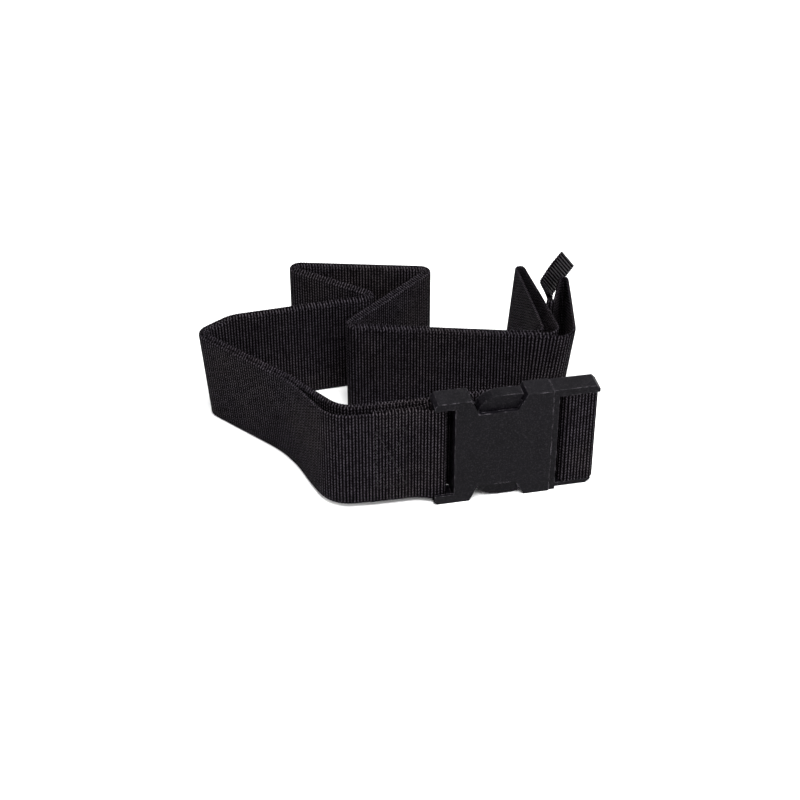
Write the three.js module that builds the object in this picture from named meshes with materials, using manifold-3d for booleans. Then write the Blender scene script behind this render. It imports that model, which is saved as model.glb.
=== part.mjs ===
// Dive weight belt: one long webbing strap, buckled, its loop flattened and folded up standing on edge.
// Millimetres, +Z up. The floor is z = 0, +X runs along the belt's length and -Y is the buckle's side.
import * as THREE from "three";
import { mergeVertices } from "three/addons/utils/BufferGeometryUtils.js";
import Module from "manifold-3d";

const wasm = await Module();
wasm.setup();

// Driving dimensions
const WEB_WIDTH = 50;
const WEB_THICK = 1.5;
const LAYER_PITCH = 1.65; // from one layer of webbing to the next in a stack
const STACK_THICK = WEB_THICK + 2 * LAYER_PITCH;
const PAIR_THICK = WEB_THICK + LAYER_PITCH;
const GAP = 0.3; // left between pieces that touch
const CUT = 0.25; // taken off each end of a run of webbing
const ARC_STEP = THREE.MathUtils.degToRad(15);

const BUCKLE = { x: 14.5, y: -43.5, turn: THREE.MathUtils.degToRad(11.6) };
const HEIGHT = 56.6; // of the buckle, across the webbing
const FEMALE_LENGTH = 55;
const LENGTH = 77; // of the closed buckle
const HALF_DEPTH = 5.5; // half the thickness of the female housing
const WALL = 1.8;
const RAIL = 2.1; // thickness of the rails above and below the webbing
const SLOT_TOP = 52.9; // the upper rail is thicker than the lower one
const END_BAR = 4;
const WEB_SLOT_END = 9.5;
const NOTCH = { mouthStart: 17, floorStart: 20.5, floorEnd: 38.5, mouthEnd: 43, depth: 8 };
const SOCKET_START = 13;
const MALE_HALF_DEPTH = 4.8;
const WEB_LIFT = 2.4; // the webbing stands this high where the buckle holds it

const WEBBING = new THREE.MeshStandardMaterial({ color: 0x1b1a1b, roughness: 0.92, metalness: 0 });
const THREAD = new THREE.MeshStandardMaterial({ color: 0x232224, roughness: 0.8, metalness: 0 });
const PLASTIC = new THREE.MeshStandardMaterial({ color: 0x2a2b2d, roughness: 0.6, metalness: 0 });

const belt = new THREE.Group();
const buckle = new THREE.Group();
buckle.position.set(BUCKLE.x, BUCKLE.y, 0);
buckle.rotation.z = BUCKLE.turn;
belt.add(buckle);

function addMesh(group, name, geometry, material) {
  const mesh = new THREE.Mesh(geometry, material);
  mesh.name = name;
  group.add(mesh);
}

function solidOf(geometry) {
  const bare = geometry.clone();
  bare.deleteAttribute("normal");
  bare.deleteAttribute("uv");
  const merged = mergeVertices(bare, 1e-4);
  return new wasm.Manifold(
    new wasm.Mesh({
      numProp: 3,
      vertProperties: new Float32Array(merged.attributes.position.array),
      triVerts: new Uint32Array(merged.index.array),
    }),
  );
}

function geometryOf(solid) {
  const mesh = solid.getMesh();
  const geometry = new THREE.BufferGeometry();
  geometry.setAttribute("position", new THREE.BufferAttribute(mesh.vertProperties, 3));
  geometry.setIndex(new THREE.BufferAttribute(mesh.triVerts, 1));
  return geometry;
}

// A block of the buckle: along is its length, deep its thickness and high its height.
function block(along, deep, high) {
  const geometry = new THREE.BoxGeometry(along[1] - along[0], deep[1] - deep[0], high[1] - high[0]);
  geometry.translate((along[0] + along[1]) / 2, (deep[0] + deep[1]) / 2, (high[0] + high[1]) / 2);
  return solidOf(geometry);
}

// An outline in the buckle's face, [along, high] points, made solid between two depths.
function plate(outline, near, far) {
  const shape = new THREE.Shape(outline.map(([along, high]) => new THREE.Vector2(along, high)));
  const geometry = new THREE.ExtrudeGeometry(shape, { depth: far - near, bevelEnabled: false });
  geometry.rotateX(Math.PI / 2);
  geometry.translate(0, far, 0);
  return solidOf(geometry);
}

const mirrored = (outline) => outline.map(([along, high]) => [along, HEIGHT - high]).reverse();

// Webbing courses, seen from above. Each corner is [x, y, radius of its bend].
// course() gives its straight runs and its bends, each a list of points.
function course(corners) {
  const runs = [];
  let from = new THREE.Vector2(corners[0][0], corners[0][1]);
  for (let i = 1; i < corners.length - 1; i++) {
    const corner = new THREE.Vector2(corners[i][0], corners[i][1]);
    const radius = corners[i][2];
    const back = new THREE.Vector2(corners[i - 1][0], corners[i - 1][1]).sub(corner).normalize();
    const on = new THREE.Vector2(corners[i + 1][0], corners[i + 1][1]).sub(corner).normalize();
    const half = Math.acos(THREE.MathUtils.clamp(back.dot(on), -1, 1)) / 2;
    const reach = radius / Math.tan(half);
    const start = corner.clone().addScaledVector(back, reach);
    const middle = corner.clone().addScaledVector(back.clone().add(on).normalize(), radius / Math.sin(half));
    const arm = start.clone().sub(middle);
    const steps = Math.max(2, Math.ceil((Math.PI - 2 * half) / ARC_STEP));
    const way = -Math.sign(back.x * on.y - back.y * on.x);
    const arc = [];
    for (let k = 0; k <= steps; k++) {
      const angle = (way * (Math.PI - 2 * half) * k) / steps;
      arc.push(
        new THREE.Vector2(
          middle.x + arm.x * Math.cos(angle) - arm.y * Math.sin(angle),
          middle.y + arm.x * Math.sin(angle) + arm.y * Math.cos(angle),
        ),
      );
    }
    runs.push([from, start], arc);
    from = arc[arc.length - 1];
  }
  const last = corners[corners.length - 1];
  runs.push([from, new THREE.Vector2(last[0], last[1])]);
  return runs;
}

// Draws the two ends of a run in, so that neighbours keep their gap.
function drawnIn(points) {
  const out = points.map((p) => p.clone());
  const pull = (end, next) => out[end].addScaledVector(out[next].clone().sub(out[end]).normalize(), CUT);
  pull(0, 1);
  pull(out.length - 1, out.length - 2);
  return out;
}

// A closed band along sections of { centre, across, out }: across is its width, out its thickness.
function bandOf(sections, width, thick) {
  const position = [];
  for (const { centre, across, out } of sections)
    for (const [a, o] of [[-1, -1], [1, -1], [1, 1], [-1, 1]])
      position.push(
        ...centre
          .clone()
          .addScaledVector(across, (a * width) / 2)
          .addScaledVector(out, (o * thick) / 2)
          .toArray(),
      );
  const index = [0, 1, 2, 0, 2, 3];
  const n = sections.length - 1;
  for (let i = 0; i < n; i++)
    for (let k = 0; k < 4; k++) {
      const a = 4 * i + k;
      const b = 4 * i + ((k + 1) % 4);
      index.push(a, a + 4, b + 4, a, b + 4, b);
    }
  index.push(4 * n, 4 * n + 2, 4 * n + 1, 4 * n, 4 * n + 3, 4 * n + 2);
  const geometry = new THREE.BufferGeometry();
  geometry.setAttribute("position", new THREE.Float32BufferAttribute(position, 3));
  geometry.setIndex(index);
  return geometry;
}

const ramp = (value, from, to) => THREE.MathUtils.clamp((value - from) / (to - from), 0, 1);

// How far the webbing's lower edge stands from under its upper edge: the folded belt leans a little
// inwards at its near left side, and its closed end leans towards the left.
const LEAN = { leftX: 3, leftY: 5, nearEnd: -6, farEnd: -4 };
const LEAN_STEP = 0.25;
function leanAt(x, y) {
  const left = ramp(x, -35, -65) * ramp(y, 36, 22);
  const near = LEAN.nearEnd * ramp(x, 55, 75) * ramp(y, 60, 25);
  const far = LEAN.farEnd * ramp(y, 50, 80) * ramp(x, 76, 66) * ramp(x, 40, 58);
  return new THREE.Vector2(LEAN.leftX * left + near + far, LEAN.leftY * left);
}

// Adds points between those of a leaning run, so that no face of it is twisted much.
function inSteps(points) {
  const leans = points.map((p) => leanAt(p.x, p.y));
  const out = [points[0]];
  for (let i = 1; i < points.length; i++) {
    const change = leans[i].distanceTo(leans[i - 1]);
    const mid = points[i - 1].clone().lerp(points[i], 0.5);
    const bend = leanAt(mid.x, mid.y).distanceTo(leans[i - 1]);
    const steps = Math.max(1, Math.ceil(Math.max(change, bend) / LEAN_STEP));
    for (let k = 1; k <= steps; k++) out.push(points[i - 1].clone().lerp(points[i], k / steps));
  }
  return out;
}

// Webbing on edge along points seen from above, its lower edge at height start easing to height end.
function upright(points, thick, start, end, leans = true) {
  const total = points.length - 1;
  const sections = points.map((p, i) => {
    const before = points[Math.max(i - 1, 0)];
    const after = points[Math.min(i + 1, total)];
    const along = after.clone().sub(before).normalize();
    const lean = leans ? leanAt(p.x, p.y) : new THREE.Vector2();
    const low = start + ((end - start) * i) / total;
    return {
      centre: new THREE.Vector3(p.x + lean.x / 2, p.y + lean.y / 2, WEB_WIDTH / 2 + low),
      across: new THREE.Vector3(-lean.x / WEB_WIDTH, -lean.y / WEB_WIDTH, 1),
      out: new THREE.Vector3(-along.y, along.x, 0),
    };
  });
  return bandOf(sections, WEB_WIDTH, thick);
}

// Adds the straight runs and bends of a course as pieces. Runs with the same name are one piece.
function addCourse(names, corners, thick, start = 0, end = 0) {
  const pieces = [];
  course(corners).forEach((points, i) => {
    const last = pieces[pieces.length - 1];
    if (last && last.name === names[i]) last.points.push(...points.slice(1));
    else pieces.push({ name: names[i], points: [...points] });
  });
  pieces.forEach(({ name, points }, i) => {
    const from = start + ((end - start) * i) / pieces.length;
    const to = start + ((end - start) * (i + 1)) / pieces.length;
    addMesh(belt, name, upright(inSteps(drawnIn(points)), thick, from, to), WEBBING);
  });
}

// The flattened loop, three layers together: outer strap, inner strap and tail.
addCourse(
  [
    "stack_front_left", "stack_left_turn", "stack_left_run", "stack_left_sweep", "stack_inner_run",
    "stack_inner_hairpin", "stack_back_left", "stack_far_left_fold", "stack_back_run",
    "stack_far_right_fold", "stack_cross_run", "stack_near_fold", "stack_front_run",
  ],
  [
    [-55, -14, 0],
    [-97, 21, 5],
    [-82, 35, 16],
    [-10, 54, 3.2],
    [-64, 85, 3.2],
    [16.5, 80.5, 3.2],
    [-27, 27, 3.2],
    [60, 20.5, 0],
  ],
  STACK_THICK,
);

// The loop's closed end: the outer strap goes out along the light leaf, back along the dark leaf,
// and comes in again as the middle layer.
addCourse(
  [
    "end_back_layer", "end_light_curl", "end_light_leaf", "end_far_fold", "end_far_fold",
    "end_far_fold", "end_dark_leaf", "end_dark_curl", "end_middle_layer",
  ],
  [
    [60.3, 22.3, 0],
    [69.8, 22.2, 4],
    [58.8, 82.5, 1.7],
    [62.7, 83, 1.7],
    [77.9, 20.5, 6],
    [60.3, 20.6, 0],
  ],
  WEB_THICK,
);

// The tail, round the outside of them: out along the right leaf and back beside it.
addCourse(
  [
    "tail_front_layer", "tail_curl", "tail_right_leaf", "tail_far_turn", "tail_far_turn",
    "tail_far_turn", "tail_inner_leaf", "tail_near_turn", "tail_near_turn", "tail_near_turn",
    "tail_last_leaf",
  ],
  [
    [60.3, 18.9, 0],
    [84.4, 17, 9],
    [84.2, 72.5, 1.7],
    [80.8, 72.5, 1.7],
    [75.9, 48.5, 1.4],
    [72.9, 48.5, 1.4],
    [73, 51.2, 0],
  ],
  WEB_THICK,
);

// The tail's free end: it twists as it rises between the leaves, and leans out over them.
function tailSection(x, y, z, across) {
  return { centre: new THREE.Vector3(x, y, z), across: new THREE.Vector3(...across).normalize() };
}
const TAIL = [
  tailSection(73.1, 51.7, 25, [0.02, 0, 1]),
  tailSection(74.2, 57, 26, [0, -0.18, 0.98]),
  tailSection(75.6, 62.5, 30.5, [-0.06, -0.48, 0.87]),
  tailSection(75.6, 66, 38, [-0.15, -0.7, 0.7]),
  tailSection(73.4, 67, 46.2, [-0.2, -0.76, 0.62]),
  tailSection(78.3, 68.8, 54, [-0.21, -0.76, 0.62]),
  tailSection(83.9, 70, 61.8, [-0.21, -0.76, 0.61]),
];
TAIL.forEach((section, i) => {
  const before = TAIL[Math.max(i - 1, 0)].centre;
  const after = TAIL[Math.min(i + 1, TAIL.length - 1)].centre;
  section.out = section.across.clone().cross(after.clone().sub(before)).normalize();
});
addMesh(belt, "tail_tip", bandOf(TAIL, WEB_WIDTH, WEB_THICK), WEBBING);

// A point of the buckle's own frame, along and back from its left end, as [x, y] of the belt.
function atBuckle(along, back) {
  const c = Math.cos(BUCKLE.turn);
  const s = Math.sin(BUCKLE.turn);
  return [BUCKLE.x + along * c - back * s, BUCKLE.y + along * s + back * c];
}

// Front strap: sewn double next to the buckle, then one layer round to the stack.
const LOOP_START = -7; // where the loop round the female bar closes to the sewn pair
const SEWN_END = { x: -13, y: -48.6 };
addCourse(
  ["sewn_web"],
  [[...atBuckle(LOOP_START, 0), 0], [SEWN_END.x, SEWN_END.y, 0]],
  PAIR_THICK,
  WEB_LIFT,
  WEB_LIFT,
);
addCourse(
  ["front_web_flat", "front_web_bend", "front_web_side", "front_web_ease", "front_web_join"],
  [[-13.4, -49.4, 0], [-31, -51.5, 16], [-49, -22.5, 30], [-56.1, -15.3, 0]],
  WEB_THICK,
  WEB_LIFT,
  0,
);

// Inner strap and tail together, behind the buckle and round inside the front strap.
const BEHIND = HALF_DEPTH + GAP + PAIR_THICK / 2;
addCourse(
  ["inner_web_behind", "inner_web_near", "inner_web_flat", "inner_web_bend", "inner_web_join"],
  [
    [...atBuckle(FEMALE_LENGTH, BEHIND), 0],
    [...atBuckle(2, BEHIND), 60],
    [-27, -41.5, 16],
    [-54.2, -13.2, 0],
  ],
  PAIR_THICK,
  WEB_LIFT,
  0,
);

// Points of an arc about a centre, seen from above in the buckle's frame.
function arcPoints(along, back, radius, from, to, steps) {
  return Array.from({ length: steps + 1 }, (_, k) => {
    const angle = THREE.MathUtils.degToRad(from + ((to - from) * k) / steps);
    return new THREE.Vector2(along + radius * Math.cos(angle), back + radius * Math.sin(angle));
  });
}

// The loop round the female end bar, closing to the left: a drop with a drop-shaped hole.
const BAR_HALF = 2;
const BAR_MIDDLE = 3.2;
const LOOP_IN = BAR_HALF + GAP;
const LOOP_OUT = LOOP_IN + WEB_THICK;
const drop = new THREE.Shape([
  new THREE.Vector2(LOOP_START, -PAIR_THICK / 2),
  new THREE.Vector2(-0.5, -LOOP_OUT + 0.2),
  ...arcPoints(BAR_MIDDLE, 0, LOOP_OUT, -90, 90, 8),
  new THREE.Vector2(-0.5, LOOP_OUT - 0.2),
  new THREE.Vector2(LOOP_START, PAIR_THICK / 2),
]);
drop.holes.push(
  new THREE.Path([
    new THREE.Vector2(LOOP_START + 2.5, 0),
    new THREE.Vector2(-0.8, LOOP_IN),
    ...arcPoints(BAR_MIDDLE, 0, LOOP_IN, 90, -90, 8),
    new THREE.Vector2(-0.8, -LOOP_IN),
  ]),
);
const dropSolid = new THREE.ExtrudeGeometry(drop, { depth: WEB_WIDTH, bevelEnabled: false });
dropSolid.translate(0, 0, WEB_LIFT);
addMesh(buckle, "female_web_loop", dropSolid, WEBBING);

// The loop round the male bar: the inner strap comes from the left behind the buckle, through the
// slot to the front and round the bar's end to the back again, where it is the tail.
const MALE_BAR = { start: 64, end: 73.6, half: 2 };
const MALE_LOOP = MALE_BAR.half + GAP + WEB_THICK / 2;
const STRAP_BACK = HALF_DEPTH + GAP + WEB_THICK / 2;
const TAIL_BACK = STRAP_BACK + LAYER_PITCH;
const maleLoop = [
  [FEMALE_LENGTH + GAP, STRAP_BACK],
  [57.6, STRAP_BACK - 0.15],
  [59.6, 4.6],
  [60.6, 1.6],
  [61, -1.4],
  [62.3, -MALE_LOOP + 0.15],
  [64.2, -MALE_LOOP],
].map(([along, back]) => new THREE.Vector2(along, back));
maleLoop.push(...arcPoints(MALE_BAR.end, 0, MALE_LOOP, -90, 0, 5));
maleLoop.push(
  ...[
    [76.9, 2.5],
    [76.2, 5.4],
    [73.5, TAIL_BACK - 0.6],
    [69.5, TAIL_BACK],
    [FEMALE_LENGTH + GAP, TAIL_BACK],
  ].map(([along, back]) => new THREE.Vector2(along, back)),
);
addMesh(buckle, "male_web_loop", upright(maleLoop, WEB_THICK, WEB_LIFT, WEB_LIFT, false), WEBBING);

// Female housing: a flat socket, open to the right, with a web slot and end bar on the left
// and a notch in its upper and lower edges for the latch arms.
const CORNER = 1.6;
const housingOutline = [
  [CORNER, 0],
  [NOTCH.mouthStart, 0],
  [NOTCH.floorStart, NOTCH.depth],
  [NOTCH.floorEnd, NOTCH.depth],
  [NOTCH.mouthEnd, 0],
  [FEMALE_LENGTH, 0],
  [FEMALE_LENGTH, HEIGHT],
  [NOTCH.mouthEnd, HEIGHT],
  [NOTCH.floorEnd, HEIGHT - NOTCH.depth],
  [NOTCH.floorStart, HEIGHT - NOTCH.depth],
  [NOTCH.mouthStart, HEIGHT],
  [CORNER, HEIGHT],
  [0, HEIGHT - CORNER],
  [0, CORNER],
];
const IN = HALF_DEPTH - WALL;
const female = plate(housingOutline, -HALF_DEPTH, HALF_DEPTH)
  .subtract(block([END_BAR, WEB_SLOT_END], [-HALF_DEPTH - 1, HALF_DEPTH + 1], [RAIL, SLOT_TOP]))
  .subtract(block([-1, END_BAR + 0.1], [-HALF_DEPTH - 1, -BAR_HALF], [RAIL, SLOT_TOP]))
  .subtract(block([-1, END_BAR + 0.1], [BAR_HALF, HALF_DEPTH + 1], [RAIL, SLOT_TOP]))
  .subtract(block([SOCKET_START, FEMALE_LENGTH + 1], [-IN, IN], [RAIL, SLOT_TOP]));
// A lip in front of the lower rail covers the webbing's edge.
const LIP = { depth: 1.4, top: 4.6 };
const lip = block([0.6, WEB_SLOT_END + 0.1], [-HALF_DEPTH, LIP.depth - HALF_DEPTH], [1, LIP.top]);
addMesh(buckle, "female_housing", geometryOf(female.add(lip)), PLASTIC);

// Male frame: rails and bar that hold the webbing, a shoulder against the socket, and a centre guide.
const SHOULDER = [FEMALE_LENGTH + GAP, 58];
const GUIDE = { start: 19, half: 5.5, depth: 2.6 };
const M = MALE_HALF_DEPTH;
const LOW_RAIL_FRONT = -2.9; // behind the webbing's front, which hides the lower rail
const maleOutline = [
  [SHOULDER[0], 0],
  [LENGTH - 3.5, 0],
  [LENGTH, 3],
  [LENGTH, HEIGHT - 1.8],
  [LENGTH - 1.8, HEIGHT],
  [SHOULDER[0], HEIGHT],
];
const male = plate(maleOutline, -M, M)
  .subtract(block([SHOULDER[1], MALE_BAR.start], [-M - 1, M + 1], [RAIL, SLOT_TOP]))
  .subtract(block([MALE_BAR.start - 0.1, LENGTH + 1], [-M - 1, -MALE_BAR.half], [RAIL, SLOT_TOP]))
  .subtract(block([MALE_BAR.start - 0.1, LENGTH + 1], [MALE_BAR.half, M + 1], [RAIL, SLOT_TOP]))
  .subtract(block([MALE_BAR.end, LENGTH + 1], [-M - 1, M + 1], [RAIL, SLOT_TOP]))
  .subtract(block([FEMALE_LENGTH, SHOULDER[1] + 0.1], [IN, M + 1], [RAIL, SLOT_TOP]))
  .subtract(block([SHOULDER[1], LENGTH + 1], [-M - 1, LOW_RAIL_FRONT], [-1, RAIL + 0.1]));
const guide = plate(
  [
    [SHOULDER[0] + 1, HEIGHT / 2 - GUIDE.half],
    [SHOULDER[0] + 1, HEIGHT / 2 + GUIDE.half],
    [GUIDE.start + 6, HEIGHT / 2 + 3.5],
    [GUIDE.start, HEIGHT / 2 + 1.5],
    [GUIDE.start, HEIGHT / 2 - 1.5],
    [GUIDE.start + 6, HEIGHT / 2 - 3.5],
  ],
  -GUIDE.depth,
  GUIDE.depth,
);
addMesh(buckle, "male_frame", geometryOf(male.add(guide)), PLASTIC);

// Latch arms: a springy beam from the male's shoulder to a rounded press pad that fills the notch.
const ARM_HALF = 3.2;
const armOutline = [
  [SHOULDER[0] - GAP, 4.4],
  [SHOULDER[0] - GAP, 8.6],
  [44, 10.6],
  [24, 12.2],
  [20.9, 9.6],
  [20.4, 6.8],
  [21.6, 4.4],
  [24, 2.3],
  [27.2, 0.9],
  [31, 0.3],
  [37, 0.3],
  [41.3, 0.8],
  [40.4, 3],
  [40.5, 4.3],
];
addMesh(buckle, "lower_latch_arm", geometryOf(plate(armOutline, -ARM_HALF, ARM_HALF)), PLASTIC);
addMesh(buckle, "upper_latch_arm", geometryOf(plate(mirrored(armOutline), -ARM_HALF, ARM_HALF)), PLASTIC);

// Stitching that closes the sewn loop: a square with its diagonals, on the front of the sewn web.
const STITCH = { from: -2, to: -18, low: 10, high: 42, thread: 0.7, proud: 0.35 };
const stitchBack = -PAIR_THICK / 2 - GAP - STITCH.proud / 2;
function stitchBar(from, to) {
  const dx = to[0] - from[0];
  const dz = to[1] - from[1];
  const bar = new THREE.BoxGeometry(Math.hypot(dx, dz) + STITCH.thread, STITCH.proud, STITCH.thread);
  bar.rotateY(-Math.atan2(dz, dx));
  bar.translate((from[0] + to[0]) / 2, 0, (from[1] + to[1]) / 2 + WEB_LIFT);
  return solidOf(bar);
}
const corners = [
  [STITCH.from, STITCH.low],
  [STITCH.from, STITCH.high],
  [STITCH.to, STITCH.high],
  [STITCH.to, STITCH.low],
];
let stitching = stitchBar(corners[0], corners[2]).add(stitchBar(corners[1], corners[3]));
for (let i = 0; i < 4; i++) stitching = stitching.add(stitchBar(corners[i], corners[(i + 1) % 4]));
const stitchMesh = geometryOf(stitching);
const sewnStart = new THREE.Vector2(...atBuckle(LOOP_START, 0));
const sewnTurn = Math.atan2(sewnStart.y - SEWN_END.y, sewnStart.x - SEWN_END.x);
stitchMesh.translate(0, stitchBack, 0);
stitchMesh.rotateZ(sewnTurn);
stitchMesh.translate(sewnStart.x, sewnStart.y, 0);
addMesh(belt, "box_stitching", stitchMesh, THREAD);

// The origin is the middle of the belt's box, on the floor.
const box = new THREE.Box3().setFromObject(belt, true);
belt.position.set(-(box.min.x + box.max.x) / 2, -(box.min.y + box.max.y) / 2, -box.min.z);

export default belt;
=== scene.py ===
"""Dive weight belt: a folded belt of black ribbed webbing with a side-release buckle.

The webbing is one strap. It is sewn round the buckle's female half, goes round the folded belt to
the closed end, comes back to the male half, and runs round the belt again to its free end.
Plan coordinates are millimetres, seen from above, and the frame's own are metres.
"""

import math

import bmesh
import bpy
import numpy as np
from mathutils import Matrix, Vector


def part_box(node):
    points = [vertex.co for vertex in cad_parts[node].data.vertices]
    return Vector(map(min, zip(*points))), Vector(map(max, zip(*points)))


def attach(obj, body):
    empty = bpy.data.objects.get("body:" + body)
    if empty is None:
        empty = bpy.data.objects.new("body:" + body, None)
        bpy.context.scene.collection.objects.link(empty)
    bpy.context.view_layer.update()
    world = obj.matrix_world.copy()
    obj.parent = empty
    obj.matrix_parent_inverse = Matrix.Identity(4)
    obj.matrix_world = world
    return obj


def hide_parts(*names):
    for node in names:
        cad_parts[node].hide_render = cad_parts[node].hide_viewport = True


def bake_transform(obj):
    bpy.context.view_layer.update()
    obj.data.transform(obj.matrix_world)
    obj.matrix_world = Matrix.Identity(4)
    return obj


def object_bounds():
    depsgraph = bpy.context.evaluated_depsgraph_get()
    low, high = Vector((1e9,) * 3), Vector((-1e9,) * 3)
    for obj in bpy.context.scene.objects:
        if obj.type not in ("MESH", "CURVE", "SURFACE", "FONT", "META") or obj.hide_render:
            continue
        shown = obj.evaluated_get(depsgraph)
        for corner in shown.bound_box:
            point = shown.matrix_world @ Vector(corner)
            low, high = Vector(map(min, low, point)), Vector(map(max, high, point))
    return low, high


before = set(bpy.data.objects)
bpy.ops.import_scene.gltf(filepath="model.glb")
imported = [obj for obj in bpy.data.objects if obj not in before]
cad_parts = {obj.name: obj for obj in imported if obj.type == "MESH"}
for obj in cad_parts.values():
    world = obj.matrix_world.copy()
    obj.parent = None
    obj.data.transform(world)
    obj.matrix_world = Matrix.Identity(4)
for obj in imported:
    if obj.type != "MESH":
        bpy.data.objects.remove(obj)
CAD_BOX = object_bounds()
MM = 0.001

# ---------------------------------------------------------------- driving dimensions, millimetres

WEB_WIDTH = 50
LAYER_PITCH = 1.65  # from one layer of webbing to the next, middle to middle
WEB_LIFT = 2.4  # how far the buckle holds the webbing's lower edge above the ground
RIB_PITCH = 1.5
RIB_VALLEY = 0.44  # half the webbing's thickness between ribs
RIB_RISE = 0.32  # how far a rib stands above that
YARN_PITCH = 1.6  # from one warp yarn to the next, across the webbing
STEP = RIB_PITCH / 6  # from one section of the strap's mesh to the next
SELVEDGE = 1.0  # how far in from its edge the webbing begins to thin
EDGE_DIP = 0.14  # how far the edge draws in between ribs
CUT_REACH = 1.2  # length over which the webbing thins to a cut end
CUT_THICKNESS = 0.62  # share of the thickness left at a cut end
RIB_FULLNESS = 0.7  # below 1, a rib is fuller than a sine wave

BUCKLE_TURN = math.radians(11.6)
BUCKLE = np.array([14.5, -43.5])  # the buckle's left end
BUCKLE_HALF_DEPTH = 5.5
FEMALE_LENGTH = 55
LOOP_START = -7  # where the loop round the female bar closes to the sewn pair
STRAP_BACK = 6.55  # middle of the strap behind the buckle, from the buckle's middle plane
BEHIND = STRAP_BACK + LAYER_PITCH / 2
TAIL_BACK = STRAP_BACK + LAYER_PITCH

ALONG = np.array([math.cos(BUCKLE_TURN), math.sin(BUCKLE_TURN)])
BACK = np.array([-ALONG[1], ALONG[0]])

# The rounded edge of the webbing: share of its half thickness, to how far in from the edge.
EDGE_PROFILE = {0.86: 0.42, 0.5: 0.1, 0.0: 0.0, -0.5: 0.1, -0.86: 0.42}

# The housing's box gives the shift from the plan to the frame.
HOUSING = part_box("female_housing")[0]
PLAN_CORNER = BUCKLE - BUCKLE_HALF_DEPTH * np.array([ALONG[1], ALONG[0]])
SHIFT = np.array([HOUSING.x / MM - PLAN_CORNER[0], HOUSING.y / MM - PLAN_CORNER[1], 0])


def to_frame(points):
    """Plan points, in millimetres, as points of the frame, in metres."""
    return (np.asarray(points, float) + SHIFT) * MM


def at_buckle(along, back):
    """A point of the buckle's own frame, along and back from its left end."""
    return BUCKLE + along * ALONG + back * BACK


# ---------------------------------------------------------------- camera, light and floor

ELEVATION = math.radians(35.5)
DISTANCE = 0.820
LENS = 77.2
TARGET = Vector(to_frame([0, 0, 25]))

# Azimuth and elevation in degrees, distance and size in metres, and power in watts.
LIGHTS = {
    "light_over": (20, 70, 0.9, 0.6, 20),
    "light_left": (-55, 38, 0.9, 0.5, 1.6),
    "light_right": (40, 32, 1.0, 0.5, 4),
    "light_behind": (170, 45, 1.0, 0.6, 3.5),
}
WORLD_STRENGTH = 0.38

camera = bpy.data.objects.new("camera", bpy.data.cameras.new("camera"))
camera.data.sensor_width = 36
camera.data.lens = LENS
camera.data.clip_start = 0.01
camera.location = TARGET + DISTANCE * Vector((0, -math.cos(ELEVATION), math.sin(ELEVATION)))
camera.rotation_euler = (math.pi / 2 - ELEVATION, 0, 0)
bpy.context.scene.collection.objects.link(camera)
bpy.context.scene.camera = camera


def area_light(name, azimuth, elevation, distance, size, power):
    """A soft square light that points at the belt. Azimuth 0 is the camera's side."""
    data = bpy.data.lights.new(name, "AREA")
    data.energy = power
    data.size = size
    light = bpy.data.objects.new(name, data)
    a, e = math.radians(azimuth), math.radians(elevation)
    way = Vector((math.sin(a) * math.cos(e), -math.cos(a) * math.cos(e), math.sin(e)))
    light.location = TARGET + distance * way
    light.rotation_euler = (-way).to_track_quat("-Z", "Y").to_euler()
    bpy.context.scene.collection.objects.link(light)


for light_name, light_numbers in LIGHTS.items():
    area_light(light_name, *light_numbers)

world = bpy.data.worlds.new("studio")
world.use_nodes = True
background = world.node_tree.nodes["Background"]
background.inputs["Color"].default_value = (1, 1, 1, 1)
background.inputs["Strength"].default_value = WORLD_STRENGTH
bpy.context.scene.world = world
bpy.context.scene.view_settings.view_transform = "Standard"


# ---------------------------------------------------------------- materials

# Colours are linear. A pair runs from one end of the slow tone variation to the other.
# The webbing's first pair is painted shade for the valleys between ribs, the second a painted
# highlight for the rib crests and beads.
WEB_PAINTED_VALLEY_SHADE = ((0.0006, 0.0005, 0.0007), (0.0011, 0.0009, 0.0011))
WEB_PAINTED_CREST_LIGHT = ((0.040, 0.035, 0.043), (0.048, 0.041, 0.045))
WEB_GLOSS = 0.045
THREAD_TONES = ((0.001, 0.001, 0.001), (0.009, 0.008, 0.009))
THREAD_GLOSS = 0.06
PLASTIC_BASE = (0.0012, 0.0010, 0.0017)
# The plastic's light colour is a painted highlight for its edges; the grain's tips also lean a
# little towards it.
PLASTIC_EDGE_HIGHLIGHT = (0.070, 0.064, 0.073)
PLASTIC_GLOSS = 0.045
FLOOR_TONES = ((0.86, 0.86, 0.86), (0.90, 0.90, 0.90))

YARN_SLANT = 1.2  # how many yarns the warp moves sideways over one rib
YARN_WANDER = 0.9  # how many yarns the warp strays from straight
BEAD_SHARE = 0.75  # the yarns' share of the relief, with the fibres making the rest
FLOW_TONE = 1.35  # how much lighter the plastic's flow marks are
SPECK_SHARE = 0.12  # how far the grain's tips go towards the colour of the painted edge highlight

# Depths of relief, and the radius that finds an edge, in metres.
YARN_RELIEF = 0.00022
FUZZ_RELIEF = 0.00010
TWIST_RELIEF = 0.0001
GRAIN_RELIEF = 0.00016
SCUFF_RELIEF = 0.00005
FLOOR_RELIEF = 0.00005
EDGE_RADIUS = 0.0007


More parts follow.
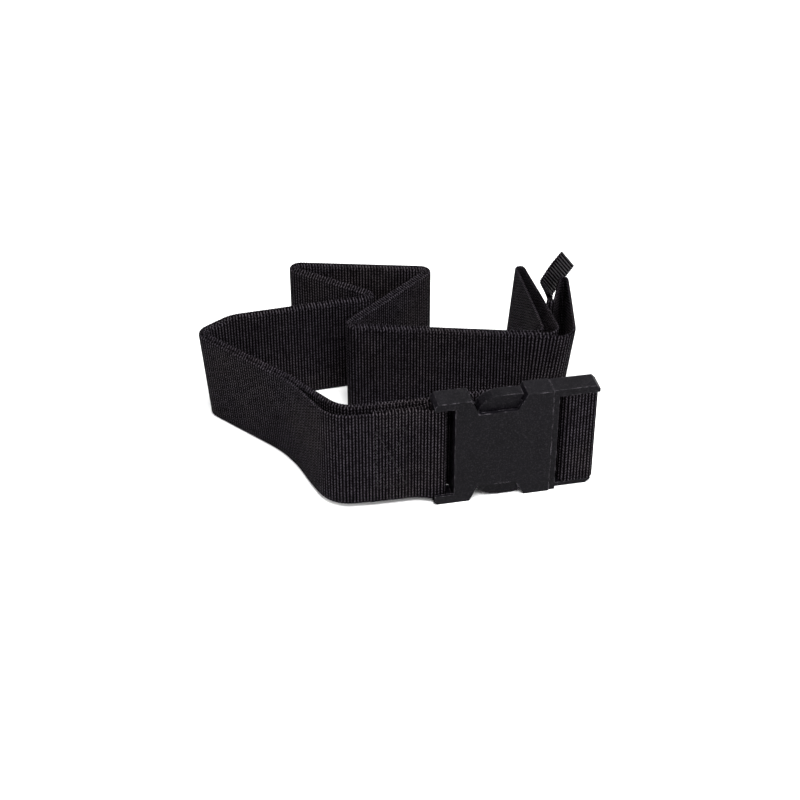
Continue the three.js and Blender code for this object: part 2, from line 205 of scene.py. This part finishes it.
class Nodes:
    """Short names for making a material's nodes."""

    def __init__(self, name):
        self.material = bpy.data.materials.new(name)
        self.material.use_nodes = True
        self.tree = self.material.node_tree
        self.shader = self.tree.nodes["Principled BSDF"]

    def put(self, value, socket):
        """Links an output to a socket, or sets a plain value on it."""
        if isinstance(value, bpy.types.NodeSocket):
            self.tree.links.new(value, socket)
        else:
            socket.default_value = value

    def node(self, kind, **settings):
        """A new node, named without the ShaderNode that all of them start with."""
        made = self.tree.nodes.new("ShaderNode" + kind)
        for name, value in settings.items():
            setattr(made, name, value)
        return made

    def math(self, operation, a, b=0.0, c=0.0):
        made = self.node("Math", operation=operation)
        for socket, value in zip(made.inputs, (a, b, c)):
            self.put(value, socket)
        return made.outputs[0]

    def noise(self, place, scale, detail=3.0, roughness=0.5):
        """Noise between 0 and 1, with its scale to the metre."""
        made = self.node("TexNoise")
        self.put(place, made.inputs["Vector"])
        made.inputs["Scale"].default_value = scale
        made.inputs["Detail"].default_value = detail
        made.inputs["Roughness"].default_value = roughness
        return made.outputs["Fac"]

    def fade(self, value, low, high, to_low=0.0, to_high=1.0):
        """value from low..high to to_low..to_high, smoothly and held at the ends."""
        made = self.node("MapRange", interpolation_type="SMOOTHSTEP")
        for socket, item in zip(made.inputs, (value, low, high, to_low, to_high)):
            self.put(item, socket)
        return made.outputs[0]

    def mix(self, share, a, b):
        """Colour a going to colour b as share goes from 0 to 1."""
        made = self.node("Mix", data_type="RGBA")
        self.put(share, made.inputs["Factor"])
        for socket, colour in zip((made.inputs[6], made.inputs[7]), (a, b)):
            self.put(colour if isinstance(colour, bpy.types.NodeSocket) else (*colour, 1), socket)
        return made.outputs[2]

    def bump(self, height, distance, strength=1.0, under=None):
        """Relief of a given depth, laid over the relief under it."""
        made = self.node("Bump")
        made.inputs["Strength"].default_value = strength
        made.inputs["Distance"].default_value = distance
        self.put(height, made.inputs["Height"])
        if under is not None:
            self.put(under, made.inputs["Normal"])
        return made.outputs[0]

    def place(self):
        """The place on the object."""
        return self.node("TexCoord").outputs["Object"]

    def set(self, **values):
        """Fills the shader's sockets, named with underscores, and returns the material."""
        for name, value in values.items():
            self.put(value, self.shader.inputs[name.replace("_", " ")])
        return self.material


def webbing_material():
    """Black nylon webbing: cross ribs in the mesh, and the warp's small beads over them here,
    with painted shade between the ribs and a painted highlight on the crests and beads.
    """
    n = Nodes("webbing")
    uv = n.node("UVMap", uv_map="strap").outputs[0]
    split = n.node("SeparateXYZ")
    n.put(uv, split.inputs[0])
    along, across = split.outputs[0], split.outputs[1]
    rib = n.math("DIVIDE", along, RIB_PITCH * MM)
    within = n.math("SUBTRACT", rib, n.math("FLOOR", rib))
    # The warp crosses each rib on a slant, one way on one rib and the other way on the next.
    zigzag = n.math("ABSOLUTE", n.math("SUBTRACT", n.math("MODULO", rib, 2.0), 1.0))
    place = n.place()
    wander = n.noise(place, 380, 2)
    slant = n.math("MULTIPLY", zigzag, YARN_SLANT)
    yarn = n.math("ADD", n.math("DIVIDE", across, YARN_PITCH * MM), slant)
    yarn = n.math("ADD", yarn, n.math("MULTIPLY", wander, YARN_WANDER))
    bead = n.math("ABSOLUTE", n.math("SINE", n.math("MULTIPLY", yarn, math.pi)))
    crest = n.math("SINE", n.math("MULTIPLY", within, math.pi))
    fibre = n.noise(place, 5200, 2)
    fuzz = n.noise(place, 1300, 4, 0.6)
    patch = n.noise(place, 26, 4, 0.55)
    streak = n.noise(place, 160, 3, 0.6)
    # Painted highlight on the crests and beads and painted shade in the valleys between them; the
    # fuzz and streak noise vary it at random.
    crest_light_mask = n.math("MULTIPLY", n.fade(bead, 0.3, 0.8), n.fade(crest, 0.55, 1.0))
    lit = n.math("MULTIPLY", crest_light_mask, n.fade(fuzz, 0.38, 0.6, 0.3, 1.1))
    lit = n.math("MULTIPLY", lit, n.fade(streak, 0.35, 0.65, 0.8, 1.1))
    painted_valley_shade = n.mix(n.fade(patch, 0.35, 0.65), *WEB_PAINTED_VALLEY_SHADE)
    light = n.mix(n.fade(patch, 0.4, 0.7), *WEB_PAINTED_CREST_LIGHT)
    beads = n.math("MULTIPLY", bead, BEAD_SHARE)
    height = n.math("ADD", beads, n.math("MULTIPLY", fibre, 1 - BEAD_SHARE))
    relief = n.bump(height, YARN_RELIEF)
    relief = n.bump(fuzz, FUZZ_RELIEF, 0.5, relief)
    return n.set(
        Base_Color=n.mix(lit, painted_valley_shade, light),
        Roughness=n.fade(fuzz, 0.3, 0.7, 0.55, 0.8),
        Specular_IOR_Level=n.fade(lit, 0.0, 0.8, 0.0, WEB_GLOSS),
        Normal=relief,
    )


def thread_material():
    """Black bonded thread, twisted along each stitch."""
    n = Nodes("thread")
    place = n.place()
    twist = n.node("TexWave", wave_type="BANDS", bands_direction="DIAGONAL")
    n.put(place, twist.inputs["Vector"])
    twist.inputs["Scale"].default_value = 900
    twist.inputs["Distortion"].default_value = 1.5
    fuzz = n.noise(place, 2500, 3)
    return n.set(
        Base_Color=n.mix(twist.outputs["Fac"], *THREAD_TONES),
        Specular_IOR_Level=THREAD_GLOSS,
        Roughness=n.fade(fuzz, 0.3, 0.7, 0.45, 0.65),
        Normal=n.bump(twist.outputs["Fac"], TWIST_RELIEF, 0.6),
    )


def plastic_material():
    """Black moulded plastic: fine spark grain, faint flow marks, and a painted highlight along
    its edges, made patchy by scuff noise.
    """
    n = Nodes("buckle_plastic")
    place = n.place()
    grain = n.noise(place, 1400, 4, 0.7)
    flow = n.noise(place, 55, 4, 0.5)
    scuffs = n.noise(place, 420, 5, 0.7)
    rounded = n.node("Bevel", samples=6)
    rounded.inputs["Radius"].default_value = EDGE_RADIUS
    turned = n.node("VectorMath", operation="DOT_PRODUCT")
    n.put(rounded.outputs[0], turned.inputs[0])
    n.put(n.node("NewGeometry").outputs["Normal"], turned.inputs[1])
    # A painted highlight along the edges, concave and convex alike, made patchy by the scuff
    # noise.
    edge = n.fade(turned.outputs["Value"], 0.992, 0.9)
    painted_edge_highlight_mask = n.math("MULTIPLY", edge, n.fade(scuffs, 0.47, 0.66))
    shade = n.mix(n.fade(flow, 0.3, 0.7), PLASTIC_BASE, [FLOW_TONE * c for c in PLASTIC_BASE])
    speck = n.fade(grain, 0.48, 0.68, 0.0, SPECK_SHARE)
    tinted = n.mix(speck, shade, PLASTIC_EDGE_HIGHLIGHT)
    relief = n.bump(grain, GRAIN_RELIEF, 0.8)
    relief = n.bump(scuffs, SCUFF_RELIEF, 0.25, relief)
    return n.set(
        Base_Color=n.mix(painted_edge_highlight_mask, tinted, PLASTIC_EDGE_HIGHLIGHT),
        Roughness=n.fade(scuffs, 0.3, 0.7, 0.42, 0.58),
        Specular_IOR_Level=PLASTIC_GLOSS,
        Normal=relief,
    )


def floor_material():
    """Smooth pale board, with a hardly visible tone and grain."""
    n = Nodes("floor")
    place = n.place()
    tone = n.noise(place, 3, 3)
    tooth = n.noise(place, 700, 2)
    return n.set(
        Base_Color=n.mix(tone, *FLOOR_TONES),
        Roughness=0.8,
        Normal=n.bump(tooth, FLOOR_RELIEF, 0.2),
    )


WEBBING = webbing_material()
THREAD = thread_material()
PLASTIC = plastic_material()

FLOOR_REACH = 6.0  # half its side, in metres
FLOOR_GAP = 0.0002  # how far it lies below the belt's lowest point


def link(obj):
    """Puts an object in the scene and returns it."""
    bpy.context.scene.collection.objects.link(obj)
    return obj


def floor():
    """The plain board that the belt stands on."""
    mesh = bpy.data.meshes.new("floor")
    signs = ((-1, -1), (1, -1), (1, 1), (-1, 1))
    corners = [(x * FLOOR_REACH, y * FLOOR_REACH, 0) for x, y in signs]
    mesh.from_pydata(corners, [], [(0, 1, 2, 3)])
    mesh.materials.append(floor_material())
    made = link(bpy.data.objects.new("floor", mesh))
    made.location.z = CAD_BOX[0].z - FLOOR_GAP


floor()


# ---------------------------------------------------------------- the strap's path


def ramp(value, start, end):
    """0 at start and 1 at end, smoothly, and held beyond them."""
    t = np.clip((value - start) / (end - start), 0, 1)
    return t * t * (3 - 2 * t)


# How far the webbing's lower edge stands out of line with its upper edge, in three places.
LEFT_LEAN = (3, 5)
NEAR_RIGHT_LEAN = -6
FAR_RIGHT_LEAN = -4


def lean_at(x, y):
    """The lean of the webbing at a plan point, as the CAD has it."""
    left = ramp(x, -35, -65) * ramp(y, 36, 22)
    near = NEAR_RIGHT_LEAN * ramp(x, 55, 75) * ramp(y, 60, 25)
    far = FAR_RIGHT_LEAN * ramp(y, 50, 80) * ramp(x, 76, 66) * ramp(x, 40, 58)
    return np.stack([LEFT_LEAN[0] * left + near + far, LEFT_LEAN[1] * left], -1)


def arc(centre, radius, start, end, steps):
    """Points of an arc in the buckle's own frame, in degrees."""
    angles = np.radians(np.linspace(start, end, steps + 1))
    return [(centre[0] + radius * math.cos(a), centre[1] + radius * math.sin(a)) for a in angles]


ARC_STEP = 0.4  # the longest step round a rounded corner
LEAST_ARC_STEPS = 6


def course(corners, offset=0.0):
    """Points along a line with rounded corners [x, y, radius], shifted to the left by offset."""
    points = []
    for i, (x, y, radius) in enumerate(corners):
        here = np.array([x, y], float)
        if i in (0, len(corners) - 1):
            other = np.array(corners[1 if i == 0 else i - 1][:2], float)
            way = (other - here if i == 0 else here - other) / np.linalg.norm(other - here)
            points.append(here + offset * np.array([-way[1], way[0]]))
            continue
        come = here - np.array(corners[i - 1][:2], float)
        go = np.array(corners[i + 1][:2], float) - here
        come /= np.linalg.norm(come)
        go /= np.linalg.norm(go)
        turn = math.atan2(come[0] * go[1] - come[1] * go[0], come @ go)
        side = math.copysign(1, turn)
        centre = here - come * radius * math.tan(abs(turn) / 2)
        centre = centre + side * radius * np.array([-come[1], come[0]])
        start = math.atan2(-side * come[0], side * come[1])
        steps = max(LEAST_ARC_STEPS, int(abs(turn) * radius / ARC_STEP))
        for k in range(steps + 1):
            a = start + turn * k / steps
            reach = radius - side * offset
            points.append(centre + reach * np.array([math.cos(a), math.sin(a)]))
    return np.array(points)


# The strap's courses: corners in the plan, each with the radius it is rounded to.
STACK = [
    [-55, -14, 0],
    [-97, 21, 5],
    [-82, 35, 16],
    [-10, 54, 3.2],
    [-64, 85, 3.2],
    [16.5, 80.5, 3.2],
    [-27, 27, 3.2],
    [60, 20.5, 0],
]
CLOSED_END = [
    [60.3, 22.3, 0],
    [69.8, 22.2, 4],
    [58.8, 82.5, 1.7],
    [62.7, 83, 1.7],
    [77.9, 20.5, 6],
    [60.3, 20.6, 0],
]
TAIL = [
    [60.3, 18.9, 0],
    [84.4, 17, 9],
    [84.2, 72.5, 1.7],
    [80.8, 72.5, 1.7],
    [75.9, 48.5, 1.4],
    [72.9, 48.5, 1.4],
    [73, 51.2, 0],
]
FRONT_WEB = [[-13.4, -49.4, 0], [-31, -51.5, 16], [-49, -22.5, 30], [-56.1, -15.3, 0]]
INNER_WEB = [
    [*at_buckle(FEMALE_LENGTH, BEHIND), 0],
    [*at_buckle(2, BEHIND), 60],
    [-27, -41.5, 16],
    [-54.2, -13.2, 0],
]
# The free end's sections: middle of the webbing, and the way across it.
TAIL_TIP = [
    ([74.2, 57, 26], [0, -0.18, 0.98]),
    ([75.6, 62.5, 30.5], [-0.06, -0.48, 0.87]),
    ([75.6, 66, 38], [-0.15, -0.7, 0.7]),
    ([73.4, 67, 46.2], [-0.2, -0.76, 0.62]),
    ([78.3, 68.8, 54], [-0.21, -0.76, 0.62]),
    ([83.9, 70, 61.8], [-0.21, -0.76, 0.61]),
]
LOOP_RADIUS = 3.05  # from the middle of either end bar to the middle of the webbing round it
LOOP_EASE = 0.15  # how much nearer the middle the webbing runs at the ends of its turn
FEMALE_BAR = 3.2  # the female end bar's middle, along the buckle
FEMALE_BAR_START = -0.6
SEWN_END = [-12.8, -48.6]  # the sewn pair's end, midway between its two layers
FRONT_END = [-13, -48.6]
MALE_BAR_END = 73.6
# Through the male frame, along the buckle and back from its middle: in, round its bar, and out.
INTO_MALE = [
    (FEMALE_LENGTH + 0.3, STRAP_BACK),
    (57.6, STRAP_BACK - LOOP_EASE),
    (59.6, 4.6),
    (60.6, 1.6),
    (61, -1.4),
    (62.3, -LOOP_RADIUS + LOOP_EASE),
    (64.2, -LOOP_RADIUS),
]
OUT_OF_MALE = [
    (76.9, 2.5),
    (76.2, 5.4),
    (MALE_BAR_END, TAIL_BACK - 0.6),
    (69.5, TAIL_BACK),
    (FEMALE_LENGTH + 0.3, TAIL_BACK),
]


class Path:
    """The strap's middle line, with the way across the webbing at each point."""

    def __init__(self):
        self.middles = []
        self.across = []
        self.marks = {}

    def mark(self, name):
        """Names the point that comes next."""
        self.marks[name] = len(self.middles)

    def upright(self, points, low, high, leans=True):
        """Adds webbing on edge, its lower edge rising evenly from low to high."""
        points = dense(points)
        lengths = lengths_along(points)
        lift = low + (high - low) * ramp(lengths, 0, lengths[-1])
        for (x, y), z in zip(points, lift):
            lean = lean_at(x, y) if leans else np.zeros(2)
            self.middles.append([x + lean[0] / 2, y + lean[1] / 2, WEB_WIDTH / 2 + z])
            self.across.append([-lean[0] / WEB_WIDTH, -lean[1] / WEB_WIDTH, 1])

    def sections(self, rows):
        """Adds webbing that twists, by its middle and the way across it."""
        for middle, across in rows:
            self.middles.append(middle)
            self.across.append(across)


def dense(points, step=0.5):
    """The same line with points no further than step apart."""
    points = np.asarray(points, float)
    out = [points[0]]
    for a, b in zip(points, points[1:]):
        count = max(1, math.ceil(np.linalg.norm(b - a) / step))
        out.extend(a + (b - a) * k / count for k in range(1, count + 1))
    return np.array(out)


def strap_path():
    """The whole strap in order, from its sewn end to its free end."""
    path = Path()
    half = LAYER_PITCH / 2
    sewn = [at_buckle(LOOP_START, side * half) for side in (1, -1)]
    bar = arc((FEMALE_BAR, 0), LOOP_RADIUS, 90, -90, 10)
    eased = LOOP_RADIUS - LOOP_EASE
    loop = [(FEMALE_BAR_START, eased), *bar, (FEMALE_BAR_START, -eased)]
    start = [(SEWN_END[0], SEWN_END[1] + half), sewn[0], *[at_buckle(*p) for p in loop], sewn[1]]
    path.upright([*start, (FRONT_END[0], FRONT_END[1] - half)], WEB_LIFT, WEB_LIFT)
    path.mark("front")
    path.upright(course(FRONT_WEB), WEB_LIFT, 0)
    path.upright(course(STACK, LAYER_PITCH), 0, 0)
    path.upright(course(CLOSED_END), 0, 0)
    path.upright(course(STACK, 0)[::-1], 0, 0)
    path.upright(course(INNER_WEB, half)[::-1], 0, WEB_LIFT)
    male = [*INTO_MALE, *arc((MALE_BAR_END, 0), LOOP_RADIUS, -90, 0, 6), *OUT_OF_MALE]
    path.mark("loop")
    path.upright([at_buckle(*p) for p in male], WEB_LIFT, WEB_LIFT, False)
    path.mark("tail")
    path.upright(course(INNER_WEB, -half), WEB_LIFT, 0)
    path.upright(course(STACK, -LAYER_PITCH), 0, 0)
    path.upright(course(TAIL), 0, 0)
    path.sections(TAIL_TIP)
    return path


def unit(vectors):
    """The same vectors at length 1."""
    return vectors / np.linalg.norm(vectors, axis=-1, keepdims=True)


def smoothed(rows, sigma):
    """Rows evened out along the strap, with both ends kept. sigma counts rows."""
    reach = int(3 * sigma)
    weights = np.exp(-0.5 * (np.arange(-reach, reach + 1) / sigma) ** 2)
    weights /= weights.sum()
    first = 2 * rows[0] - rows[reach:0:-1]
    last = 2 * rows[-1] - rows[-2 : -reach - 2 : -1]
    padded = np.concatenate([first, rows, last])
    return np.stack([np.convolve(padded[:, k], weights, "valid") for k in range(3)], -1)


def lengths_along(points):
    """The length along a line at each of its points."""
    return np.concatenate([[0], np.cumsum(np.linalg.norm(np.diff(points, axis=0), axis=1))])


class Strap:
    """The strap's sections at even steps: middle, across and out, in plan millimetres."""

    SMALLEST_GAP = 1e-3  # points closer than this count as one
    MIDDLE_EASE = 0.9  # how far the middle line is evened out, and the way across it
    ACROSS_EASE = 3

    def __init__(self, path):
        raw = np.array(path.middles, float)
        gaps = np.linalg.norm(np.diff(raw, axis=0), axis=1)
        keep = np.concatenate([[True], gaps > self.SMALLEST_GAP])
        lengths = lengths_along(raw[keep])
        index = np.flatnonzero(keep)
        self.length = STEP * math.floor(lengths[-1] / STEP)
        self.at = np.arange(0, self.length + STEP / 2, STEP)
        across = unit(np.array(path.across, float))[keep]
        self.middle = smoothed(self.spread(raw[keep], lengths), self.MIDDLE_EASE / STEP)
        self.across = unit(smoothed(self.spread(across, lengths), self.ACROSS_EASE / STEP))
        along = np.gradient(self.middle, axis=0)
        self.out = unit(np.cross(self.across, along))
        self.marks = {n: float(np.interp(i, index, lengths)) for n, i in path.marks.items()}

    def spread(self, rows, lengths):
        """Rows that stand at the given lengths, read off at the strap's even steps."""
        return np.stack([np.interp(self.at, lengths, rows[:, k]) for k in range(3)], -1)


strap = Strap(strap_path())


def place_on_strap(where, height, out):
    """The plan point at a length along the strap, a height across it, and out from its middle."""
    i = min(int(round(where / STEP)), len(strap.at) - 1)
    middle = strap.middle[i] + (height - WEB_WIDTH / 2) * strap.across[i]
    return middle + out * strap.out[i]


FLAT_POINTS = 5  # points across each face of the webbing
BACK_SHIFT = 0.575  # moves the yarns on the back face sideways


def ribbon(name, start, end, cut_start=False, cut_end=False):
    """Ribbed webbing along the strap from one length to another, closed all round."""
    first, last = int(round(start / STEP)), int(round(end / STEP))
    rows = slice(first, last + 1)
    at = strap.at[rows]
    wave = np.abs(np.sin(math.pi * at / RIB_PITCH)) ** RIB_FULLNESS
    half = RIB_VALLEY + RIB_RISE * wave
    cut_loss = 1 - CUT_THICKNESS
    if cut_start:
        half = half * (CUT_THICKNESS + cut_loss * ramp(at, at[0], at[0] + CUT_REACH))
    if cut_end:
        half = half * (CUT_THICKNESS + cut_loss * ramp(at, at[-1], at[-1] - CUT_REACH))
    edge = WEB_WIDTH / 2 - EDGE_DIP * (1 - wave)
    inner = WEB_WIDTH / 2 - SELVEDGE
    flats = np.linspace(-inner, inner, FLAT_POINTS)
    # Each point of the ring: its place across the webbing, or None on an edge, and its side.
    ring = [(v, 1.0) for v in flats]
    ring += [(None, out) for out in EDGE_PROFILE]
    ring += [(v, -1.0) for v in flats[::-1]]
    ring += [(None, -out) for out in EDGE_PROFILE]
    count = len(ring)
    points = np.empty((len(at), count, 3))
    uv = np.empty((len(at), count, 2))
    for k, (v, out) in enumerate(ring):
        if v is None:
            side = 1 if k < len(flats) + len(EDGE_PROFILE) else -1
            reach = side * (edge - EDGE_PROFILE[out * side])
        else:
            reach = np.full(len(at), v)
        points[:, k] = (
            strap.middle[rows]
            + reach[:, None] * strap.across[rows]
            + (out * half)[:, None] * strap.out[rows]
        )
        uv[:, k, 0] = at * MM
        uv[:, k, 1] = (reach + (0 if out >= 0 else BACK_SHIFT)) * MM
    total = len(at)
    grid = np.arange(total * count).reshape(total, count)
    a, b = grid[:-1], grid[1:]
    faces = np.stack([a, np.roll(a, -1, 1), np.roll(b, -1, 1), b], -1).reshape(-1, 4).tolist()
    faces += [grid[0][::-1].tolist(), grid[-1].tolist()]
    mesh = bpy.data.meshes.new(name)
    mesh.from_pydata(to_frame(points.reshape(-1, 3)).tolist(), [], faces)
    layer = mesh.uv_layers.new(name="strap")
    corners = np.empty(len(mesh.loops), int)
    mesh.loops.foreach_get("vertex_index", corners)
    layer.data.foreach_set("uv", uv.reshape(-1, 2)[corners].ravel())
    mesh.polygons.foreach_set("use_smooth", [True] * (len(faces) - 2) + [False] * 2)
    mesh.materials.append(WEBBING)
    mesh.validate()
    work = bmesh.new()
    work.from_mesh(mesh)
    bmesh.ops.recalc_face_normals(work, faces=work.faces)
    work.to_mesh(mesh)
    work.free()
    made = link(bpy.data.objects.new(name, mesh))
    return made


def length_near(x, y, after, before):
    """The length along the strap where it passes nearest a plan point, between two lengths."""
    far = np.hypot(strap.middle[:, 0] - x, strap.middle[:, 1] - y)
    far[(strap.at < after) | (strap.at > before)] = 1e9
    return RIB_PITCH * round(float(strap.at[int(np.argmin(far))]) / RIB_PITCH)


# The strap is one piece up to where the buckle's two halves part, a second past the male bar and
# back, and a third to the free end.
SPLIT = (-30, -39)
SPLIT_REACH = 130  # how far from the male frame the split is looked for, along the strap
into_buckle = length_near(*SPLIT, strap.marks["loop"] - SPLIT_REACH, strap.marks["loop"])
out_of_buckle = length_near(*SPLIT, strap.marks["tail"], strap.marks["tail"] + SPLIT_REACH)

front = ribbon("strap_front", 0, into_buckle, cut_start=True)
behind = ribbon("strap_through_buckle", into_buckle, out_of_buckle)
tail = ribbon("strap_tail", out_of_buckle, strap.length, cut_end=True)
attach(front, "belt")
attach(tail, "belt")
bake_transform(behind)


def nodes_named(*starts):
    """The CAD nodes whose names begin with one of these."""
    return [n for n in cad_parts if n.startswith(starts)]


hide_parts("sewn_web", "female_web_loop", *nodes_named("stack_", "end_"))
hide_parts(*nodes_named("front_web"))
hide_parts("male_web_loop", *nodes_named("inner_web"))
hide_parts(*nodes_named("tail_"))


# ---------------------------------------------------------------- stitching

# The sewn box: its ends, back from where the strap leaves the sewn pair, and its heights.
BOX_ENDS = (16.5, 2.5)
BOX_HEIGHTS = (9, 41)
STITCH_PITCH = 2.6
STITCH_GAP = 0.8
STITCH_RADIUS = 0.3
STITCH_FLATNESS = 0.8
STITCH_POINTS = 6  # along one stitch
STITCH_SIDES = 6  # round it
MEAN_RIB = 0.75  # the ribs' mean height as a share of their full height
STITCH_SUNK = 0.30  # how far its ends lie below the ribs' mean surface
STITCH_RISE = 0.36  # how far its middle stands above its ends

# Which side of the strap faces away from the belt at the sewn pair.
OUT_SIDE = 1.0 if strap.out[int(strap.marks["front"] / STEP)][1] < 0 else -1.0


def stitches():
    """A sewn square with its diagonals, through both layers next to the buckle."""
    work = bmesh.new()
    near, far = (strap.marks["front"] - back for back in BOX_ENDS)
    low, high = BOX_HEIGHTS
    lines = [
        ((near, low), (near, high)),
        ((far, low), (far, high)),
        ((near, low), (far, low)),
        ((near, high), (far, high)),
        ((near, low), (far, high)),
        ((near, high), (far, low)),
    ]
    inset = STITCH_GAP / STITCH_PITCH / 2
    for a, b in lines:
        count = max(2, round(math.dist(a, b) / STITCH_PITCH))
        for k in range(count):
            shares = np.linspace((k + inset) / count, (k + 1 - inset) / count, STITCH_POINTS)
            for face in (1, -1):
                add_stitch(work, a, b, shares, face)
    mesh = bpy.data.meshes.new("stitching")
    bmesh.ops.recalc_face_normals(work, faces=work.faces)
    work.to_mesh(mesh)
    work.free()
    mesh.polygons.foreach_set("use_smooth", [True] * len(mesh.polygons))
    mesh.materials.append(THREAD)
    made = link(bpy.data.objects.new("stitching", mesh))
    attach(made, "belt")
    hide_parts("box_stitching")


def add_stitch(work, a, b, shares, face):
    """One stitch as a short bent thread that dips into the webbing at both ends."""
    half = RIB_VALLEY + RIB_RISE * MEAN_RIB
    rows = []
    for k, share in enumerate(shares):
        where, height = (p + (q - p) * share for p, q in zip(a, b))
        arch = math.sin(math.pi * (k + 0.35) / (len(shares) - 0.3))
        above = half - STITCH_SUNK + STITCH_RISE * arch
        out = above if face > 0 else -(above + LAYER_PITCH)
        rows.append(place_on_strap(where, height, out * OUT_SIDE))
    rows = np.array(rows)
    out = strap.out[int(a[0] / STEP)]
    rings = []
    for row, way in zip(rows, unit(np.gradient(rows, axis=0))):
        side = np.cross(way, out)
        side /= np.linalg.norm(side)
        ring = []
        for turn in np.linspace(0, 2 * math.pi, STITCH_SIDES, endpoint=False):
            spoke = math.cos(turn) * side + math.sin(turn) * out * STITCH_FLATNESS
            ring.append(work.verts.new(to_frame(row + STITCH_RADIUS * spoke)))
        rings.append(ring)
    for low, high in zip(rings, rings[1:]):
        for k in range(STITCH_SIDES):
            after = (k + 1) % STITCH_SIDES
            work.faces.new((low[k], low[after], high[after], high[k]))
    work.faces.new(rings[0][::-1])
    work.faces.new(rings[-1])


stitches()


# ---------------------------------------------------------------- buckle

BUCKLE_NODES = ("female_housing", "male_frame", "upper_latch_arm", "lower_latch_arm")
ROUNDING = 0.0013  # width of a rounded edge, in metres
ROUNDED_ANGLE = math.radians(28)  # edges that turn by less stay as they are

for node_name in BUCKLE_NODES:
    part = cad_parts[node_name]
    for slot in part.material_slots:
        slot.material = PLASTIC
    rounding = part.modifiers.new("rounding", "BEVEL")
    rounding.width = ROUNDING
    rounding.segments = 3
    rounding.limit_method = "ANGLE"
    rounding.angle_limit = ROUNDED_ANGLE
    rounding.harden_normals = True
